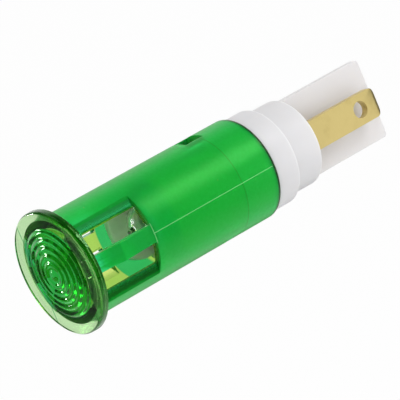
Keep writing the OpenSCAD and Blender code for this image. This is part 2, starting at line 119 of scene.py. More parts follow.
class Graph:
    """Node tree of one material or of the world."""

    def __init__(self, tree: bpy.types.NodeTree) -> None:
        """Clears the tree.

        Args:
            tree: Node tree to fill.
        """
        self.tree = tree
        tree.nodes.clear()

    def node(
        self,
        kind: str,
        settings: Optional[Dict[str, object]] = None,
        values: Optional[Dict[Union[str, int], Value]] = None,
    ) -> Sock:
        """Adds a node of any kind.

        Args:
            kind: Blender's name of the node type.
            settings: Properties to set first.
            values: Numbers, colours or sockets for the inputs.

        Returns:
            The node's first output.
        """
        made = self.tree.nodes.new(kind)
        for name, setting in (settings or {}).items():
            setattr(made, name, setting)
        for name, value in (values or {}).items():
            socket = made.inputs[name]
            if isinstance(value, Sock):
                self.tree.links.new(value.link, socket)
            elif socket.type == "RGBA" and len(value) == 3:
                socket.default_value = (*value, 1.0)
            else:
                socket.default_value = value
        return Sock(self, made) if made.outputs else None

    def maths(self, operation: str, *terms: Value) -> Sock:
        """Adds a Math node.

        Args:
            operation: Name of the operation.
            terms: Numbers or sockets, in order.

        Returns:
            The result.
        """
        return self.node(
            "ShaderNodeMath", {"operation": operation}, dict(enumerate(terms))
        )

    def ramp_between(self, value: Sock, low: float, high: float) -> Sock:
        """Rises smoothly from 0 to 1 while a value goes from low to high.

        Args:
            value: Value to follow.
            low: Where the result is 0.
            high: Where the result is 1.

        Returns:
            The smooth step.
        """
        return self.node(
            "ShaderNodeMapRange",
            {"interpolation_type": "SMOOTHSTEP"},
            {"Value": value, "From Min": low, "From Max": high},
        )

    def ridge(self, distance: Sock, width: float) -> Sock:
        """Gives a smooth ridge, 1 where a distance is 0 and 0 from a width on.

        Args:
            distance: Signed distance from the ridge's middle.
            width: Half width of the ridge.

        Returns:
            The ridge's height from 0 to 1.
        """
        return self.ramp_between(abs(distance), width, 0.0)

    def blend(self, factor: Value, first: Value, second: Value, how: str = "MIX") -> Sock:
        """Mixes two colours.

        Args:
            factor: Share of the second colour.
            first: First colour.
            second: Second colour.
            how: Blend type.

        Returns:
            The mixed colour.
        """
        made = self.tree.nodes.new("ShaderNodeMix")
        made.data_type = "RGBA"
        made.blend_type = how
        for index, value in ((0, factor), (6, first), (7, second)):
            if isinstance(value, Sock):
                self.tree.links.new(value.link, made.inputs[index])
            elif index:
                made.inputs[index].default_value = (*value, 1.0)
            else:
                made.inputs[index].default_value = value
        return Sock(self, made, 2)

    def place(self) -> Tuple[Sock, Sock, Sock, Sock]:
        """Gives the place on the object in millimetres.

        Returns:
            The vector and its X, Y and Z.
        """
        coords = self.node("ShaderNodeTexCoord").part("Object")
        scaled = self.node(
            "ShaderNodeVectorMath", {"operation": "SCALE"}, {0: coords, "Scale": 1.0 / MM}
        )
        split = self.node("ShaderNodeSeparateXYZ", None, {0: scaled})
        return scaled, split, split.part("Y"), split.part("Z")

    def stretched(self, vector: Sock, scale: Point3) -> Sock:
        """Scales a vector by a different number along each axis."""
        return self.node(
            "ShaderNodeVectorMath", {"operation": "MULTIPLY"}, {0: vector, 1: scale}
        )

    def noise(self, vector: Sock, scale: float, detail: float = 2.0, rough: float = 0.5) -> Sock:
        """Adds a noise texture.

        Args:
            vector: Place in millimetres.
            scale: Waves per millimetre.
            detail: Octaves.
            rough: How strong the finer octaves are.

        Returns:
            The noise, about 0.5 on average.
        """
        return self.node(
            "ShaderNodeTexNoise",
            None,
            {"Vector": vector, "Scale": scale, "Detail": detail, "Roughness": rough},
        )

    def relief(self, height: Sock, depth_mm: float, strength: float = 1.0) -> Sock:
        """Turns a height into a bumped normal.

        Args:
            height: Height from 0 to 1.
            depth_mm: Real depth of the relief, in millimetres.
            strength: Share of the relief that shows.

        Returns:
            The normal.
        """
        return self.node(
            "ShaderNodeBump",
            None,
            {"Height": height, "Distance": depth_mm * MM, "Strength": strength},
        )

    def surface(self, values: Dict[str, Value], volume: Optional[Sock] = None) -> None:
        """Ends the graph in a Principled surface and the output.

        Args:
            values: Inputs of the Principled shader.
            volume: Volume shader, if the finish has one.
        """
        shader = self.node("ShaderNodeBsdfPrincipled", None, values)
        ends: Dict[Union[str, int], Value] = {"Surface": shader}
        if volume:
            ends["Volume"] = volume
        self.node("ShaderNodeOutputMaterial", None, ends)


# ---------------------------------------------------------------- finishes


@dataclass(frozen=True)
class Finish:
    """A material that is made once and then shared."""

    title: str

    def dress(self, graph: Graph) -> None:
        """Fills the graph; each finish has its own."""
        raise NotImplementedError

    def material(self) -> bpy.types.Material:
        """Returns the Blender material, making it the first time."""
        found = bpy.data.materials.get(self.title)
        if found:
            return found
        made = bpy.data.materials.new(self.title)
        made.use_nodes = True
        self.dress(Graph(made.node_tree))
        return made


@dataclass(frozen=True)
class GreenPolycarbonate(Finish):
    """Green moulding: polished on the lens and flange, faintly frosted on the tube."""

    title: str = "green_polycarbonate"
    flange_tint: Colour = (0.98, 0.99, 0.95)
    lens_tint: Colour = (0.012, 0.52, 0.30)
    bore_tint: Colour = (0.50, 0.72, 0.055)
    # Dark green tint used as painted shade on the bore behind the windows.
    window_wall_shade_tint: Colour = (0.004, 0.40, 0.06)
    # Dark tint used as painted shade on the window floors sunk in the flange.
    floor_shade_tint: Colour = (0.08, 0.30, 0.14)
    tube_tint: Colour = (0.006, 0.97, 0.45)
    # Dark tint used as painted shade on the flat cut faces of the windows.
    cut_shade_tint: Colour = (0.004, 0.35, 0.15)
    # Near black-green tint used as painted shade on the rear rim and the seat step.
    rim_shade_tint: Colour = (0.01, 0.10, 0.04)
    haze: Colour = (0.0, 0.60, 0.055)
    haze_share: float = 0.36
    line: Colour = (0.30, 0.80, 0.36)
    ior: float = 1.56
    polish: float = 0.05
    frost: float = 0.30
    absorbed: Colour = (0.35, 0.80, 0.15)
    density: float = 1000.0
    bore_r: float = 4.15
    seat_r: float = 4.35
    lens_r: float = 4.4
    lens_back: float = 1.0
    window_end: float = 6.8
    window_flat: float = 3.25
    window_r: float = 4.72
    seat_y: float = 17.5
    tube_l: float = 21.3
    nicks: Tuple[Point2, ...] = ((10.7, -0.05), (14.5, 0.04), (15.1, 1.3), (3.0, 4.4))

    def tint(self, graph: Graph, x: Sock, y: Sock, z: Sock, off_axis: Sock) -> Sock:
        """Gives the tint that light takes on where it enters the moulding, with painted shade on
        the rear rim, the seat step, the window cut faces, the window floors and the bore behind the
        windows.

        Args:
            graph: Graph to build in.
            x: Distance to the right.
            y: Distance along the axis.
            z: Height.
            off_axis: Distance from the axis.

        Returns:
            The tint.
        """
        skirt = graph.ramp_between(y, -0.08, 0.1)
        bore = graph.ramp_between(off_axis, self.bore_r + 0.08, self.bore_r + 0.02) * skirt
        seat = (off_axis < self.seat_r + 0.05) * (y > self.seat_y - 0.02)
        lens = graph.ramp_between(off_axis, self.lens_r + 0.05, self.lens_r - 0.1)
        lens = lens * graph.ramp_between(abs(x), 3.95, 3.65) * (y < self.lens_back + 0.12)
        # Painted shade: the last 0.2 to 0.4 mm of the tube is tinted near black-green so the rim
        # renders dark.
        rear_rim_shade = graph.ramp_between(y, self.tube_l - 0.42, self.tube_l - 0.22)
        # Painted shadow of the internal seat step: a faint dark band in the rim shade tint on the
        # outside of the tube.
        step = graph.ridge(y - (self.seat_y - 0.25), 0.09) * (off_axis > self.lens_r)
        # Painted shade on the flat cut faces of the windows.
        cut_face_shade = graph.ridge(abs(x) - self.window_flat, 0.12) * (y < self.window_end) * (abs(z) > 1.5)
        tint: Value = graph.blend(skirt, self.flange_tint, self.tube_tint)
        tint = graph.blend(cut_face_shade, tint, self.cut_shade_tint)
        tint = graph.blend(graph.maths("MAXIMUM", bore, seat), tint, self.bore_tint)
        # Painted shade: the bore is tinted dark green from 6.8 to 10 mm along the axis, behind the
        # windows.
        wall = bore * graph.ramp_between(y, 6.75, 6.9) * graph.ramp_between(y, 10.1, 9.7)
        tint = graph.blend(wall, tint, self.window_wall_shade_tint)
        tint = graph.blend(lens, tint, self.lens_tint)
        tint = graph.blend(graph.maths("MAXIMUM", rear_rim_shade, step * 0.55), tint, self.rim_shade_tint)
        leaving = graph.node("ShaderNodeNewGeometry").part("Backfacing")
        tint = graph.blend(leaving, tint, self.flange_tint)
        # Painted shade on the window floors sunk in the flange.
        floor = (y < 0.02) * (y > -0.12) * (abs(x) > self.window_flat) * (off_axis < 4.92)
        return graph.blend(floor, tint, self.floor_shade_tint)

    def dress(self, graph: Graph) -> None:
        """Tints by place with painted shade on the rim, seat step, cut faces, window floors and
        bore, frosts the tube, marks the parting lines and absorbs light inside.
        """
        vector, x, y, z = graph.place()
        off_axis = graph.maths("SQRT", x * x + z * z)
        skirt = graph.ramp_between(y, -0.08, 0.1)
        behind = graph.ramp_between(y, self.window_end - 0.1, self.window_end + 0.05)
        tube = graph.ramp_between(y, 0.02, 0.1)
        seam = graph.ridge(z, 0.06) * behind * (abs(x) > 4.0)
        shut = graph.ridge(y - (self.window_end + 0.05), 0.06) * (abs(z) < 0.95)
        mark: Value = graph.maths("MAXIMUM", seam, shut)
        for along, up in self.nicks:
            dot = graph.ridge(y - along, 0.09) * graph.ridge(z - up, 0.07) * (x > 0.0)
            mark = graph.maths("MAXIMUM", mark, dot)
        mottle = graph.noise(vector, 3.2, 3.0, 0.6)
        sink = graph.noise(vector, 0.5, 1.0)
        relief = graph.relief(mark + (mottle * 0.8 + sink * 0.8) * skirt, 0.02, 0.6)
        outside = (off_axis > self.bore_r + 0.3) * skirt
        shader = graph.node(
            "ShaderNodeBsdfPrincipled",
            None,
            {
                "Base Color": self.tint(graph, x, y, z, off_axis),
                "Roughness": self.polish + outside * (self.frost - self.polish + mottle * 0.06),
                "IOR": self.ior,
                "Specular Tint": (0.45, 1.0, 0.4),
                "Transmission Weight": 1.0,
                "Sheen Weight": 0.12,
                "Sheen Roughness": 0.35,
                "Sheen Tint": (0.85, 1.0, 0.85),
                "Normal": relief,
            },
        )
        cloud = graph.node(
            "ShaderNodeBsdfDiffuse",
            None,
            {"Color": graph.blend(mark, self.haze, self.line), "Normal": relief},
        )
        front = 1.0 - graph.node("ShaderNodeNewGeometry").part("Backfacing")
        # flat is 0 at the rear rim and takes the haze lobe off there, so the painted rim shade
        # stays dark.
        flat = graph.ramp_between(y, self.tube_l - 0.28, self.tube_l - 0.45)
        solid = (off_axis > self.window_r) * tube * flat
        share = (self.haze_share + (mottle - 0.5) * 0.25 + mark * 0.35) * solid * front
        mixed = graph.node("ShaderNodeMixShader", None, {0: share, 1: shader, 2: cloud})
        inside = graph.node(
            "ShaderNodeVolumeAbsorption", None, {"Color": self.absorbed, "Density": self.density}
        )
        graph.node("ShaderNodeOutputMaterial", None, {"Surface": mixed, "Volume": inside})


@dataclass(frozen=True)
class WhiteNylon(Finish):
    """Natural white nylon with a soft sheen and a faint flow pattern."""

    title: str = "white_nylon"
    colour: Colour = (0.80, 0.795, 0.81)
    shade: Colour = (0.72, 0.70, 0.70)
    gloss: float = 0.42

    def dress(self, graph: Graph) -> None:
        """Clouds the white very slightly, adds a fine spark-eroded grain, a painted highlight along
        the collar and neck rear edges and painted shade on the barrier plate.
        """
        vector, x, y, z = graph.place()
        flow = graph.noise(graph.stretched(vector, (1.0, 0.35, 1.0)), 0.5, 3.0)
        grain = graph.noise(vector, 14.0, 2.0)
        # Painted shade: the barrier plate behind the neck is blended 35 % towards a warm grey.
        plate = graph.ramp_between(y, 27.0, 27.3)
        off_axis = graph.maths("SQRT", x * x + z * z)
        # Painted highlight: the rear edges of the collar and neck are blended to near white.
        edge = graph.ridge(y - 23.80, 0.16) * (off_axis > 4.4)
        edge = graph.maths("MAXIMUM", edge, graph.ridge(y - 27.0, 0.16) * (off_axis > 3.95))
        colour = graph.blend(flow * 0.30, self.colour, self.shade)
        colour = graph.blend(plate * 0.35, colour, (0.74, 0.705, 0.69))
        colour = graph.blend(edge, colour, (0.93, 0.93, 0.94))
        graph.surface(
            {
                "Base Color": colour,
                "Roughness": self.gloss + (flow - 0.5) * 0.16,
                "IOR": 1.53,
                "Subsurface Weight": 0.6,
                "Subsurface Radius": (1.0, 0.95, 0.9),
                "Subsurface Scale": 0.0010,
                "Normal": graph.relief(grain + flow * 3.0, 0.008, 0.5),
            }
        )


@dataclass(frozen=True)
class BrushedBrass(Finish):
    """Rolled brass strip with fine brush marks across its length."""

    title: str = "brushed_brass"
    colour: Colour = (0.80, 0.655, 0.270)
    dull: Colour = (0.62, 0.47, 0.17)

    def dress(self, graph: Graph) -> None:
        """Draws cross brushing, a few long rolling marks and a thin tarnish."""
        vector = graph.place()[0]
        brush = graph.noise(graph.stretched(vector, (1.0, 11.0, 0.9)), 1.6, 4.0, 0.65)
        roll = graph.noise(graph.stretched(vector, (1.0, 0.25, 7.0)), 1.4, 2.0)
        stain = graph.noise(vector, 0.9, 3.0)
        tarnish = graph.ramp_between(stain, 0.5, 0.8)
        colour = graph.blend(brush * 0.30 + tarnish * 0.25, self.colour, self.dull)
        graph.surface(
            {
                "Base Color": colour,
                "Metallic": 1.0,
                "Roughness": 0.30 + brush * 0.16 + tarnish * 0.05,
                "Anisotropic": 0.4,
                "Normal": graph.relief(brush + roll * 0.4, 0.006, 0.7),
            }
        )


@dataclass(frozen=True)
class ClearGlass(Finish):
    """Soft glass of the lamp, with faint drawing waves."""

    title: str = "lamp_glass_clear"
    tint: Colour = (0.95, 0.985, 0.965)

    def dress(self, graph: Graph) -> None:
        """Leaves the glass clear, with a little waviness."""
        vector = graph.place()[0]
        wave = graph.noise(vector, 0.8, 1.0)
        graph.surface(
            {
                "Base Color": graph.blend(wave * 0.2, self.tint, (0.9, 0.97, 0.95)),
                "Roughness": 0.01 + wave * 0.02,
                "IOR": 1.51,
                "Transmission Weight": 1.0,
                "Normal": graph.relief(wave, 0.02, 0.5),
            }
        )


@dataclass(frozen=True)
class DrawnMetal(Finish):
    """Bright drawn or dipped metal of rods, leads and solder."""

    colour: Colour = (0.62, 0.60, 0.57)
    shade: Colour = (0.42, 0.39, 0.36)
    gloss: float = 0.28
    grain: Point3 = (1.0, 0.2, 1.0)
    scale: float = 6.0

    def dress(self, graph: Graph) -> None:
        """Adds drawing marks or dross along the metal."""
        vector = graph.place()[0]
        marks = graph.noise(graph.stretched(vector, self.grain), self.scale, 3.0)
        graph.surface(
            {
                "Base Color": graph.blend(marks * 0.6, self.colour, self.shade),
                "Metallic": 1.0,
                "Roughness": self.gloss + marks * 0.15,
                "Normal": graph.relief(marks, 0.01, 0.6),
            }
        )


@dataclass(frozen=True)
class BandedLacquer(Finish):
    """Tan lacquer of the series resistor, with its colour bands."""

    title: str = "resistor_lacquer"
    colour: Colour = (0.66, 0.50, 0.32)
    bands: Tuple[Tuple[float, Colour], ...] = (
        (0.45, (0.50, 0.10, 0.03)),
        (1.35, (0.03, 0.03, 0.03)),
        (1.95, (0.72, 0.55, 0.05)),
        (3.15, (0.70, 0.50, 0.18)),
    )
    start: float = 18.3

    def dress(self, graph: Graph) -> None:
        """Paints the bands along the body and gives the lacquer a soft run."""
        vector, _, y, _ = graph.place()
        run = graph.noise(vector, 1.5, 2.0)
        colour: Value = graph.blend(run * 0.4, self.colour, (0.52, 0.37, 0.22))
        for middle, paint in self.bands:
            edge = y - (self.start + middle) + (run - 0.5) * 0.08
            colour = graph.blend(abs(edge) < 0.16, colour, paint)
        graph.surface(
            {
                "Base Color": colour,
                "Roughness": 0.28 + run * 0.1,
                "Coat Weight": 0.4,
                "Normal": graph.relief(run, 0.03, 0.5),
            }
        )


@dataclass(frozen=True)
class IvoryTubing(Finish):
    """Thin ivory insulating tube."""

    title: str = "ivory_tubing"
    colour: Colour = (0.78, 0.72, 0.56)

    def dress(self, graph: Graph) -> None:
        """Adds faint extrusion lines."""
        vector = graph.place()[0]
        lines = graph.noise(graph.stretched(vector, (1.0, 0.1, 1.0)), 8.0, 2.0)
        graph.surface(
            {
                "Base Color": graph.blend(lines * 0.4, self.colour, (0.66, 0.58, 0.42)),
                "Roughness": 0.45 + lines * 0.1,
                "Normal": graph.relief(lines, 0.01, 0.5),
            }
        )


class Kit(Enum):
    """The finishes of the light, each with its slot in the record."""

    GREEN = (GreenPolycarbonate(), "green_lens")
    WHITE = (WhiteNylon(), "white_base")
    BRASS = (BrushedBrass(), "blade_brass")
    GLASS = (ClearGlass(), "clear_glass")
    NICKEL = (
        DrawnMetal("nickel_rod", (0.60, 0.57, 0.53), (0.40, 0.37, 0.33), 0.30),
        "electrode_metal",
    )
    TINNED = (
        DrawnMetal("tinned_wire", (0.72, 0.70, 0.68), (0.50, 0.47, 0.44), 0.22),
        "lead_metal",
    )
    LACQUER = (BandedLacquer(), "resistor_coat")
    TUBING = (IvoryTubing(), "tubing_plastic")
    SOLDER = (
        DrawnMetal(
            "soft_solder", (0.66, 0.66, 0.67), (0.42, 0.42, 0.43), 0.25, (1.0, 1.0, 1.0), 3.0
        ),
        "solder_metal",
    )

    @property
    def finish(self) -> Finish:
        """The finish itself."""
        return self.value[0]

    @property
    def slot(self) -> str:
        """Name of the slot in the record."""
        return self.value[1]


# ---------------------------------------------------------------- solids


def arc(cx: float, cy: float, r: float, a0: float, a1: float, steps: int = 6) -> List[Point2]:
    """Points of an arc.

    Args:
        cx: First coordinate of the centre.
        cy: Second coordinate of the centre.
        r: Radius.
        a0: Start angle in degrees.
        a1: End angle in degrees.
        steps: Number of chords.

    Returns:
        The points, both ends included.
    """
    angles = (math.radians(a0 + (a1 - a0) * i / steps) for i in range(steps + 1))
    return [(cx + r * math.cos(a), cy + r * math.sin(a)) for a in angles]


class Solid:
    """Closed mesh in millimetres that adds, cuts and crosses with others."""

    TURNS = 192

    def __init__(self, verts: Sequence[Point3], faces: Sequence[Sequence[int]]) -> None:
        """Makes the mesh with its faces outwards.

        Args:
            verts: Corners.
            faces: Corner numbers of each face.
        """
        mesh = bpy.data.meshes.new("solid")
        mesh.from_pydata([tuple(v) for v in verts], [], [tuple(f) for f in faces])
        work = bmesh.new()
        work.from_mesh(mesh)
        bmesh.ops.remove_doubles(work, verts=work.verts, dist=1e-6)
        bmesh.ops.recalc_face_normals(work, faces=work.faces)
        work.to_mesh(mesh)
        work.free()
        self.obj = bpy.data.objects.new("solid", mesh)
        bpy.context.scene.collection.objects.link(self.obj)

    @classmethod
    def turned(
        cls, profile: Sequence[Point2], turns: int = TURNS, centre: Point2 = (0.0, 0.0)
    ) -> "Solid":
        """Turns a closed profile about a line along Y.

        Args:
            profile: Points of (radius, Y).
            turns: Number of segments round.
            centre: X and Z of the line.

        Returns:
            The solid.
        """
        verts: List[Point3] = []
        rings: List[List[int]] = []
        for r, y in profile:
            if r < 1e-6:
                rings.append([len(verts)] * turns)
                verts.append((centre[0], y, centre[1]))
                continue
            rings.append(list(range(len(verts), len(verts) + turns)))
            for k in range(turns):
                a = 2 * math.pi * k / turns
                verts.append((centre[0] + r * math.cos(a), y, centre[1] + r * math.sin(a)))
        faces: List[List[int]] = []
        for i, ring in enumerate(rings):
            after = rings[(i + 1) % len(rings)]
            for k in range(turns):
                n = (k + 1) % turns
                corners = [ring[k], ring[n], after[n], after[k]]
                face = [c for j, c in enumerate(corners) if c != corners[j - 1]]
                if len(face) > 2:
                    faces.append(face)
        return cls(verts, faces)

    @classmethod
    def prism(cls, outline: Sequence[Point2], axis: int, low: float, high: float) -> "Solid":
        """Extrudes an outline along an axis.

        Args:
            outline: Points in the two other axes, in X, Y, Z order.
            axis: 0, 1 or 2 for X, Y or Z.
            low: Start along the axis.
            high: End along the axis.

        Returns:
            The solid.
        """
        count = len(outline)
        verts: List[Point3] = []
        for level in (low, high):
            for a, b in outline:
                place = [a, b]
                place.insert(axis, level)
                verts.append((place[0], place[1], place[2]))
        faces: List[List[int]] = [list(range(count)), list(range(count, 2 * count))]
        faces += [[i, (i + 1) % count, count + (i + 1) % count, count + i] for i in range(count)]
        return cls(verts, faces)

    @classmethod
    def block(cls, low: Point3, high: Point3) -> "Solid":
        """Makes a block from its lowest and highest corner."""
        outline = [(low[0], low[1]), (high[0], low[1]), (high[0], high[1]), (low[0], high[1])]
        return cls.prism(outline, 2, low[2], high[2])

    def _combine(self, other: "Solid", how: str) -> "Solid":
        """Combines with another solid, which is used up.

        Args:
            other: The other solid.
            how: UNION, DIFFERENCE or INTERSECT.

        Returns:
            This solid, changed.
        """
        change = self.obj.modifiers.new("combine", "BOOLEAN")
        change.operation = how
        change.solver = "EXACT"
        change.object = other.obj
        self.bake()
        bpy.data.objects.remove(other.obj)
        return self

    def bake(self) -> "Solid":
        """Turns the modifiers into mesh."""
        graph = bpy.context.evaluated_depsgraph_get()
        mesh = bpy.data.meshes.new_from_object(self.obj.evaluated_get(graph))
        self.obj.modifiers.clear()
        self.obj.data = mesh
        return self

    def __add__(self, other: "Solid") -> "Solid":
        """Joins another solid on."""
        return self._combine(other, "UNION")

    def __sub__(self, other: "Solid") -> "Solid":
        """Cuts another solid away."""
        return self._combine(other, "DIFFERENCE")

    def __and__(self, other: "Solid") -> "Solid":
        """Keeps what lies in both solids."""
        return self._combine(other, "INTERSECT")

    def half_turn(self) -> "Solid":
        """Turns the solid half a turn about the light's axis."""
        self.obj.data.transform(Matrix.Rotation(math.pi, 4, "Y"))
        return self

    def clean(self, near: float = 0.002) -> "Solid":
        """Merges corners that lie together and drops needle-thin faces."""
        work = bmesh.new()
        work.from_mesh(self.obj.data)
        bmesh.ops.remove_doubles(work, verts=work.verts, dist=near)
        bmesh.ops.dissolve_degenerate(work, edges=work.edges, dist=near * 0.5)
        work.to_mesh(self.obj.data)
        work.free()
        return self

    def soften(self, width: float, steps: int = 2, angle: float = 32.0) -> "Solid":
        """Rounds the sharp edges.

        Args:
            width: Width of the rounding.
            steps: Faces across it.
            angle: Edges sharper than this are rounded, in degrees.

        Returns:
            This solid, changed.
        """
        change = self.obj.modifiers.new("soften", "BEVEL")
        change.width = width
        change.segments = steps
        change.limit_method = "ANGLE"
        change.angle_limit = math.radians(angle)
        change.use_clamp_overlap = True
        change.miter_outer = "MITER_ARC"
        return self.bake()

    def piece(
        self, name: str, kit: Kit, nodes: Sequence[str], sharp: float = 38.0
    ) -> bpy.types.Object:
        """Scales to metres, dresses the mesh and puts it in the place of solids.

        Args:
            name: Name of the finished piece.
            kit: Its finish.
            nodes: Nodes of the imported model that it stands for.
            sharp: Edges sharper than this stay sharp in the shading, in degrees.

        Returns:
            The finished object.
        """
        self.obj.data.transform(Matrix.Scale(MM, 4))
        self.obj.data.shade_smooth()
        self.obj.data.set_sharp_from_angle(angle=math.radians(sharp))
        change = self.obj.modifiers.new("normals", "WEIGHTED_NORMAL")
        change.mode = "FACE_AREA"
        change.weight = 100
        change.keep_sharp = True
        mesh = self.bake().obj.data
        mesh.name = name
        self.obj.name = name
        mesh.materials.clear()
        mesh.materials.append(kit.finish.material())
        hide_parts(*nodes)
        kit.slot
        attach(self.obj, "root")
        LOG.info("%s: %d faces", name, len(mesh.polygons))
        return self.obj


# ---------------------------------------------------------------- lens body


@dataclass
class LensBody:
    """The green moulding: ringed lens, flange, tube, windows, snap bars and slots."""

    tube_r: float = 4.9
    bore_r: float = 4.15
    seat_r: float = 4.35
    seat_y: float = 17.5
    tube_l: float = 21.3
    rim_round: float = 0.25
    flange_r: float = 5.825
    flange_t: float = 0.75
    flange_round: float = 0.2
    lens_r: float = 4.4
    lens_rise: float = 0.45
    lens_back: float = 1.0
    ring_pitch: float = 0.7
    ring_depth: float = 0.09
    ring_count: int = 6
    window_l: float = 6.8
    window_flat: float = 3.25
    floor_step: float = 0.05
    bar_w: float = 1.6
    grip_y: float = 2.1
    crest_y: float = 2.95
    crest_l: float = 0.2
    crest_rise: float = 0.35
    root_drop: float = 0.2
    flush_l: float = 0.5
    slot_w: float = 2.6
    slot_l: float = 2.05
    slot_y: float = 15.65

    def lens_height(self, r: float) -> float:
        """Gives the rippled lens face at a radius.

        Args:
            r: Radius.

        Returns:
            Y of the face.
        """
        crown = -self.flange_t - self.lens_rise * (1 - (r / self.lens_r) ** 2)
        last = self.ring_pitch * (self.ring_count + 0.5)
        if r > last:
            return crown
        if r < self.ring_pitch:
            wave = (1 - math.cos(math.pi * r / self.ring_pitch)) / 2
        else:
            wave = (1 + math.cos(2 * math.pi * r / self.ring_pitch)) / 2
        return crown + self.ring_depth * wave**1.3

    def profile(self) -> List[Point2]:
        """Gives the closed profile of lens, flange and tube."""
        fr, ft, rr, e = self.flange_r, self.flange_t, self.rim_round, 0.06
        steps = 88
        radii = [self.lens_r * i / steps for i in range(steps + 1)]
        lens = [(r, self.lens_height(r)) for r in radii]
        return [
            *lens,
            *arc(fr - self.flange_round, self.flange_round - ft, self.flange_round, -90, 0),
            *arc(fr - e, -e, e, 0, 90, 3),
            *arc(self.tube_r + e, e, e, 270, 180, 3),
            (self.tube_r, 7.5),
            (self.tube_r, 14.5),
            *arc(self.tube_r - rr, self.tube_l - rr, rr, 0, 90),
            (self.seat_r + 0.06, self.tube_l),
            (self.seat_r, self.tube_l - 0.06),
            (self.seat_r, self.seat_y),
            (self.bore_r + 0.03, self.seat_y),
            (self.bore_r, self.seat_y - 0.03),
            (self.bore_r, 7.5),
            *arc(self.bore_r - 0.15, self.lens_back + 0.15, 0.15, 0, -90, 3),
            (0.0, self.lens_back),
        ]

    def window(self) -> Solid:
        """Makes the tool that cuts one window and the sunk floor in the flange."""
        far = self.flange_r + 1
        opening = Solid.block((self.window_flat, 0.0, -far), (far, self.window_l, far))
        half = math.degrees(math.acos(self.window_flat / self.tube_r))
        segment = arc(0.0, 0.0, self.tube_r, -half, half, 48)
        return opening + Solid.prism(segment, 1, -self.floor_step, 0.3)

    def bar(self) -> Solid:
        """Makes one snap bar, a little longer than its window at both ends."""
        top, crest_r = self.tube_r, self.tube_r + self.crest_rise
        profile = [
            (self.bore_r, -self.floor_step - 0.05),
            (top - self.root_drop, -self.floor_step - 0.05),
            (top, self.grip_y),
            (crest_r, self.crest_y),
            (crest_r, self.crest_y + self.crest_l),
            (top, self.window_l - self.flush_l),
            (top, self.window_l + 0.1),
            (self.bore_r, self.window_l + 0.1),
        ]
        half = self.bar_w / 2
        slab = Solid.block((0.0, -1.0, -half), (8.0, 9.0, half))
        return Solid.turned(profile) & slab

    def slot(self) -> Solid:
        """Makes the tool for the top latch slot."""
        half = self.slot_w / 2
        return Solid.block((-half, self.slot_y, 2.0), (half, self.slot_y + self.slot_l, 8.0))

    def build(self) -> bpy.types.Object:
        """Builds the moulding.

        Returns:
            The finished piece.
        """
        body = Solid.turned(self.profile())
        body = body - self.window() - self.window().half_turn()
        body = body + self.bar() + self.bar().half_turn()
        body = body - self.slot() - self.slot().half_turn()
        return body.clean().soften(0.05).piece("lens_moulding", Kit.GREEN, ["lens_body"])


# ---------------------------------------------------------------- terminal base


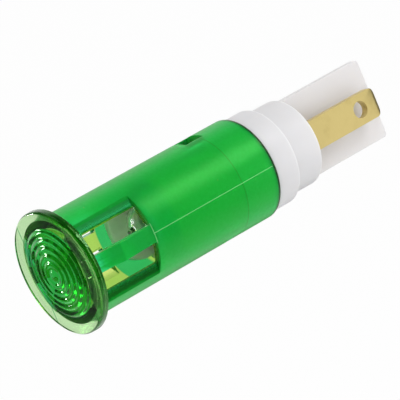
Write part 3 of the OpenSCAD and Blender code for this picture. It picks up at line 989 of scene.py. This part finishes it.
@dataclass
class TerminalBase:
    """The white moulding: sleeve with lamp cheeks and latch tongues, collar, neck, barrier."""

    sleeve_r: float = 4.07
    plug_r: float = 4.27
    cavity_r: float = 3.42
    sleeve_y: float = 10.0
    cheek_y: float = 7.9
    cheek_w: float = 6.1
    cheek_round: float = 1.2
    seat_y: float = 17.58
    tube_l: float = 21.3
    collar_r: float = 4.65
    collar_y: float = 23.9
    neck_r: float = 4.2
    neck_y: float = 27.1
    rear_y: float = 25.35
    edge: float = 0.18
    tongue_w: float = 3.0
    slit_w: float = 0.4
    slit_end: float = 17.1
    lug_r: float = 4.35
    lug_y: float = 15.75
    lug_end: float = 17.6
    lug_w: float = 2.4
    rib_t: float = 0.8
    rib_ys: Tuple[float, float] = (10.0, 12.9)
    lamp_r: float = 2.0
    barrier_w: float = 7.7
    barrier_t: float = 0.8
    barrier_end: float = 37.3
    barrier_round: float = 0.35
    tab_x: float = 2.12
    tab_w: float = 2.88
    tab_t: float = 0.88
    gate_angle: float = 60.0

    def shell(self) -> Solid:
        """Turns the sleeve, collar, neck and rear wall as one hollow body."""
        e = self.edge
        profile = [
            (self.cavity_r, self.sleeve_y),
            (self.sleeve_r - e, self.sleeve_y),
            (self.sleeve_r, self.sleeve_y + e),
            (self.sleeve_r, self.seat_y),
            (self.plug_r, self.seat_y),
            (self.plug_r, self.tube_l),
            *arc(self.collar_r - 0.08, self.tube_l + 0.08, 0.08, -90, 0, 3),
            *arc(self.collar_r - e, self.collar_y - e, e, 0, 90, 5),
            *arc(self.neck_r + 0.06, self.collar_y + 0.06, 0.06, 270, 180, 3),
            *arc(self.neck_r - e, self.neck_y - e, e, 0, 90, 5),
            (0.0, self.neck_y),
            (0.0, self.rear_y),
            (self.cavity_r, self.rear_y),
        ]
        return Solid.turned(profile)

    def cheeks(self) -> Solid:
        """Makes the two cheeks that reach forward beside the lamp."""
        half, r = self.cheek_w / 2, self.cheek_round
        ring = [
            (self.cavity_r, self.cheek_y), (self.sleeve_r, self.cheek_y),
            (self.sleeve_r, self.sleeve_y + 0.5), (self.cavity_r, self.sleeve_y + 0.5),
        ]
        outline = [
            *arc(self.cheek_y + r, half - r, r, 90, 180, 8),
            *arc(self.cheek_y + r, r - half, r, 180, 270, 8),
            (self.sleeve_y + 1, -half),
            (self.sleeve_y + 1, half),
        ]
        return Solid.turned(ring) & Solid.prism(outline, 0, -8.0, 8.0)

    def lug(self) -> Solid:
        """Makes the top latch lug with its ramp."""
        root = self.cavity_r + 0.3
        profile = [
            (root, self.lug_y), (self.sleeve_r, self.lug_y),
            (self.lug_r, (self.lug_y + self.lug_end) / 2), (self.lug_r, self.lug_end),
            (root, self.lug_end),
        ]
        half = self.lug_w / 2
        slab = Solid.block((-half, self.lug_y - 1, 0.5), (half, self.lug_end + 1, 8.0))
        return Solid.turned(profile) & slab

    def rib(self, y: float) -> Solid:
        """Makes the right-hand saddle rib at a distance along the axis."""
        rib = Solid.block(
            (self.lamp_r - 0.2, y, -self.lamp_r / 2),
            (self.cavity_r + 0.3, y + self.rib_t, self.lamp_r / 2),
        )
        r = self.lamp_r + 0.06
        return rib - Solid.turned([(0.0, y - 1), (r, y - 1), (r, y + 2), (0.0, y + 2)])

    def barrier(self) -> Solid:
        """Makes the plate that keeps the blades apart."""
        half, r = self.barrier_w / 2, self.barrier_round
        outline = [
            (self.neck_y - 0.4, -half),
            *arc(self.barrier_end - r, r - half, r, -90, 0, 6),
            *arc(self.barrier_end - r, half - r, r, 0, 90, 6),
            (self.neck_y - 0.4, half),
        ]
        return Solid.prism(outline, 0, -self.barrier_t / 2, self.barrier_t / 2)

    def gate(self) -> Solid:
        """Makes the small gate mark on the rear edge of the collar."""
        a = math.radians(self.gate_angle)
        r = self.collar_r - 0.14
        end = self.collar_y - 0.02
        nub = [(0.0, end - 0.5), (0.16, end - 0.5), (0.16, end - 0.03), (0.10, end), (0.0, end)]
        return Solid.turned(nub, 16, (r * math.cos(a), r * math.sin(a)))

    def build(self) -> bpy.types.Object:
        """Builds the moulding.

        Returns:
            The finished piece.
        """
        body = self.shell()
        for side in (-1, 1):
            x = side * (self.tongue_w + self.slit_w) / 2
            body = body - Solid.block(
                (x - self.slit_w / 2, self.sleeve_y - 1, -8.0),
                (x + self.slit_w / 2, self.slit_end, 8.0),
            )
        body = body + self.cheeks()
        for y in self.rib_ys:
            body = body + self.rib(y) + self.rib(y).half_turn()
        body = body + self.lug() + self.lug().half_turn()
        body = body + self.barrier()
        x, t, w = self.tab_x, self.tab_t / 2, self.tab_w / 2
        for turned in (True, False):
            slot = Solid.block((x - t, self.rear_y - 1, -w), (x + t, self.neck_y + 1, w))
            body = body - (slot.half_turn() if turned else slot)
        body = body.clean().soften(0.06) + self.gate()
        return body.piece("base_moulding", Kit.WHITE, ["base"])


# ---------------------------------------------------------------- blades


class Side(Enum):
    """The two sides of the light, with the node of the blade there."""

    RIGHT = "terminal_right"
    LEFT = "terminal_left"


@dataclass
class BladeTerminal:
    """Brass blade with chamfered tip, wire eye, stop shoulders and solder tail."""

    side: Side
    x: float = 2.12
    t: float = 0.8
    w: float = 2.8
    rear_y: float = 25.35
    tip_y: float = 36.2
    tip_round: float = 0.65
    lead: float = 0.35
    eye_r: float = 0.8
    eye_y: float = 34.0
    shoulder_w: float = 3.5
    shoulder_y: float = 24.55
    tail_w: float = 1.6
    tail_y: float = 22.45
    tail_hole_r: float = 0.3
    tail_hole_y: float = 23.25

    def outline(self) -> List[Point2]:
        """Gives the blade's outline seen from the side, as points of Y and Z."""
        w, r = self.w / 2, self.tip_round
        half = [
            (self.tail_y, self.tail_w / 2),
            (self.shoulder_y, self.tail_w / 2),
            (self.shoulder_y, self.shoulder_w / 2),
            (self.rear_y, self.shoulder_w / 2),
            (self.rear_y, w),
            *arc(self.tip_y - r, w - r, r, 90, 0, 8),
        ]
        return half + [(y, -z) for y, z in reversed(half)]

    def drilled(self, body: Solid, y: float, r: float, steps: int) -> Solid:
        """Drills a round hole through the blade.

        Args:
            body: Blade so far.
            y: Distance along the axis.
            r: Radius.
            steps: Chords round the hole.

        Returns:
            The drilled blade.
        """
        circle = arc(y, 0.0, r, 0, 360 - 360 / steps, steps - 1)
        return body - Solid.prism(circle, 0, self.x - 2, self.x + 2)

    def build(self) -> bpy.types.Object:
        """Builds the blade.

        Returns:
            The finished piece.
        """
        t = self.t / 2
        body = Solid.prism(self.outline(), 0, self.x - t, self.x + t)
        flare = (self.t - self.lead) / 2
        taper = [
            (self.x - t, self.tail_y - 1), (self.x + t, self.tail_y - 1),
            (self.x + t, self.tip_y - self.lead), (self.x + flare, self.tip_y),
            (self.x - flare, self.tip_y), (self.x - t, self.tip_y - self.lead),
        ]
        body = body & Solid.prism(taper, 2, -3.0, 3.0)
        body = self.drilled(body, self.eye_y, self.eye_r, 48)
        body = self.drilled(body, self.tail_hole_y, self.tail_hole_r, 32)
        if self.side is Side.LEFT:
            body = body.half_turn()
        return body.clean(0.0005).soften(0.05, 2, 28.0).piece(
            "blade_" + self.side.name.lower(), Kit.BRASS, [self.side.value]
        )


# ---------------------------------------------------------------- glow lamp


@dataclass
class GlowLamp:
    """Glass of the neon lamp: sealed nipple, dome, straight wall and flat pinch."""

    r: float = 2.0
    wall: float = 0.35
    tip_y: float = 7.4
    dome_y: float = 8.0
    pinch_y: float = 15.0
    heel_y: float = 14.5
    end_y: float = 16.8
    pinch_w: float = 3.0
    pinch_t: float = 1.3
    rod_x: float = 0.75
    lead_r: float = 0.22

    def outside(self) -> Solid:
        """Turns the outer skin with a flowing nipple."""
        h = self.r * 0.75
        end = self.dome_y + h
        nipple = [(0.0, self.tip_y), (0.13, self.tip_y + 0.03), (0.23, self.tip_y + 0.12),
                  (0.28, self.tip_y + 0.27), (0.32, self.tip_y + 0.45), (0.42, self.dome_y + 0.02)]
        dome = [
            (self.r * math.cos(math.radians(a)), end - h * math.sin(math.radians(a)))
            for a in range(74, -1, -4)
        ]
        heel = [(self.r, self.heel_y - 0.35), (self.r * 0.93, self.heel_y - 0.05),
                (self.r * 0.7, self.heel_y + 0.25), (0.75, self.pinch_y), (0.0, self.pinch_y)]
        return Solid.turned([*nipple, *dome, *heel], 128)

    def chamber(self) -> Solid:
        """Turns the gas space inside the glass."""
        r = self.r - self.wall
        h = self.r * 0.75 - self.wall
        end = self.dome_y + self.r * 0.75
        dome = [
            (r * math.cos(math.radians(a)), end - h * math.sin(math.radians(a)))
            for a in range(90, -1, -6)
        ]
        heel = [
            (r, self.heel_y - 0.45), (r - 0.1, self.heel_y - 0.15),
            (r - 0.35, self.heel_y), (0.0, self.heel_y),
        ]
        return Solid.turned([*dome, *heel], 96)

    def build(self) -> bpy.types.Object:
        """Builds the glass.

        Returns:
            The finished piece.
        """
        w, t = self.pinch_w / 2, self.pinch_t / 2
        seal = Solid.block((-w, self.heel_y, -t), (w, self.end_y, t)).soften(0.25, 4)
        body = self.outside() + seal
        body = body - self.chamber()
        for side in (-1, 1):
            body = body - Solid.turned(
                [(0.0, self.heel_y - 0.5), (self.lead_r, self.heel_y - 0.5),
                 (self.lead_r, self.end_y + 1), (0.0, self.end_y + 1)],
                24,
                (side * self.rod_x, 0.0),
            )
        return body.clean(0.0005).piece("lamp_envelope", Kit.GLASS, ["lamp_glass"], 50.0)


@dataclass
class LampWiring:
    """The rods, leads, resistor, tubing and solder, which keep their exact solids."""

    dressed: Tuple[Tuple[str, Kit], ...] = (
        ("electrode_right", Kit.NICKEL),
        ("electrode_left", Kit.NICKEL),
        ("lamp_lead_right", Kit.TINNED),
        ("lamp_lead_left", Kit.TINNED),
        ("resistor_lead_front", Kit.TINNED),
        ("resistor_lead_rear", Kit.TINNED),
        ("resistor_body", Kit.LACQUER),
        ("lead_tubing", Kit.TUBING),
        ("solder_lap", Kit.SOLDER),
        ("solder_right", Kit.SOLDER),
        ("solder_left", Kit.SOLDER),
    )

    def dress(self) -> None:
        """Gives each solid its finish."""
        for name, kit in self.dressed:
            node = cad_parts[name]
            for slot in node.material_slots:
                slot.material = kit.finish.material()
            LOG.info("%s: %s", name, kit.finish.title)


# ---------------------------------------------------------------- studio


@dataclass(frozen=True)
class Softbox:
    """Rectangular lamp."""

    name: str
    place: Point3
    aim: Point3
    width: float
    height: float
    power: float

    def light(self) -> None:
        """Hangs the lamp."""
        data = bpy.data.lights.new(self.name, "AREA")
        data.shape = "RECTANGLE"
        data.size = self.width * MM
        data.size_y = self.height * MM
        data.energy = self.power
        lamp = bpy.data.objects.new(self.name, data)
        lamp.visible_camera = False
        lamp.location = Vector(self.place) * MM
        look = (Vector(self.aim) - Vector(self.place)).to_track_quat("-Z", "Y")
        lamp.rotation_euler = look.to_euler()
        bpy.context.scene.collection.objects.link(lamp)


@dataclass
class Studio:
    """Pale floor, white surroundings, softboxes and the camera."""

    back: Point3 = (0.8245, -0.5364, 0.1804)
    right: Point3 = (0.5614, 0.7343, -0.3816)
    up: Point3 = (0.0723, 0.4158, 0.9066)
    eye: Point3 = (217.58632, -125.92406, 47.1029)
    lens: float = 267.3
    floor_z: float = -42.0
    floor_r: float = 900.0
    ambient: float = 0.60
    room: float = 0.08
    softboxes: Tuple[Softbox, ...] = (
        Softbox("key", (65.4, 69.6, 60.5), (4.3, 16.0, 2.3), 28.0, 50.0, 0.022),
        Softbox("fill", (234.0, -180.0, 60.0), (0.0, 8.0, 0.0), 200.0, 200.0, 0.20),
        Softbox("glint", (-98.0, -56.0, 21.0), (0.0, 8.0, 0.8), 10.0, 34.0, 0.02),
        Softbox("top", (-120.0, 40.0, 380.0), (0.0, 15.0, 0.0), 260.0, 260.0, 0.12),
        Softbox("card", (23.1, 44.4, -4.5), (2.5, 31.0, 0.0), 18.0, 18.0, 0.0011),
    )

    def camera(self) -> None:
        """Places the camera."""
        data = bpy.data.cameras.new("camera")
        data.sensor_width = 36.0
        data.lens = self.lens
        data.clip_start = 0.005
        data.clip_end = 20.0
        camera = bpy.data.objects.new("camera", data)
        axes = Matrix((self.right, self.up, self.back)).transposed()
        camera.matrix_world = Matrix.Translation(Vector(self.eye) * MM) @ axes.to_4x4()
        bpy.context.scene.collection.objects.link(camera)
        bpy.context.scene.camera = camera

    def clear(self, graph: Graph) -> Sock:
        """Gives 1 for rays from the camera or through the green and the glass."""
        path = graph.node("ShaderNodeLightPath")
        return graph.maths("MAXIMUM", path.part("Is Camera Ray"), path.part("Is Transmission Ray"))

    def world(self) -> None:
        """Makes the white surroundings, with a darker room on the near side."""
        world = bpy.data.worlds.new("studio")
        world.use_nodes = True
        bpy.context.scene.world = world
        graph = Graph(world.node_tree)
        way = graph.node("ShaderNodeTexCoord")
        facing = graph.node(
            "ShaderNodeVectorMath", {"operation": "DOT_PRODUCT"}, {0: way, 1: self.back}
        ).part("Value")
        screen = graph.ramp_between(facing, -0.30, -0.75)
        seen = graph.maths("MAXIMUM", screen, self.room)
        path = graph.node("ShaderNodeLightPath")
        level = self.ambient + path.part("Is Glossy Ray") * (seen - self.ambient)
        level = graph.maths("MAXIMUM", level, self.clear(graph))
        light = graph.node(
            "ShaderNodeBackground", None, {"Color": (1.0, 1.0, 1.0), "Strength": level}
        )
        graph.node("ShaderNodeOutputWorld", None, {"Surface": light})

    def floor(self) -> None:
        """Lays the pale floor, which keeps the shadow and, to glossy rays, glows white near the
        object as a painted reflection.
        """
        count = 96
        turns = [2 * math.pi * k / count for k in range(count)]
        ring = [(self.floor_r * math.cos(a), self.floor_r * math.sin(a)) for a in turns]
        corners = [(x * MM, y * MM, self.floor_z * MM) for x, y in ring]
        mesh = bpy.data.meshes.new("floor")
        mesh.from_pydata(corners, [], [tuple(range(count))])
        floor = bpy.data.objects.new("floor", mesh)
        bpy.context.scene.collection.objects.link(floor)
        material = bpy.data.materials.new("pale_floor")
        material.use_nodes = True
        graph = Graph(material.node_tree)
        vector, x, y, _ = graph.place()
        grain = graph.noise(vector, 0.02, 2.0)
        cloth = graph.node(
            "ShaderNodeBsdfDiffuse",
            None,
            {"Color": graph.blend(grain * 0.1, (0.90, 0.90, 0.90), (0.86, 0.86, 0.86))},
        )
        path = graph.node("ShaderNodeLightPath")
        clear = self.clear(graph)
        # Painted glow: to glossy rays the floor shines white within 40 mm of the object, fading to
        # 0.1 by 100 mm, a bright patch seen in reflections.
        away = graph.maths("SQRT", x * x + y * y)
        near = graph.ramp_between(away, 100.0, 40.0)
        level = graph.maths("MAXIMUM", clear, graph.maths("MAXIMUM", near, 0.1))
        glow = graph.node("ShaderNodeEmission", None, {"Color": (1.0, 1.0, 1.0), "Strength": level})
        share = graph.maths("MAXIMUM", clear, path.part("Is Glossy Ray")) * 0.97
        made = graph.node("ShaderNodeMixShader", None, {0: share, 1: cloth, 2: glow})
        graph.node("ShaderNodeOutputMaterial", None, {"Surface": made})
        mesh.materials.append(material)

    def build(self) -> None:
        """Sets up the whole studio."""
        self.camera()
        self.world()
        self.floor()
        for softbox in self.softboxes:
            softbox.light()
        scene = bpy.context.scene
        scene.view_settings.view_transform = "Standard"
        scene.cycles.max_bounces = 24
        scene.cycles.transmission_bounces = 20
        scene.cycles.glossy_bounces = 8
        scene.cycles.diffuse_bounces = 5


# ---------------------------------------------------------------- main


def main() -> None:
    """Builds the light and its studio."""
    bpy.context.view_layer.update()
    Studio().build()
    LensBody().build()
    TerminalBase().build()
    for side in Side:
        BladeTerminal(side).build()
    GlowLamp().build()
    LampWiring().dress()


if __name__ == "__main__":
    logging.basicConfig(level=logging.INFO, format="%(name)s: %(message)s")
    main()
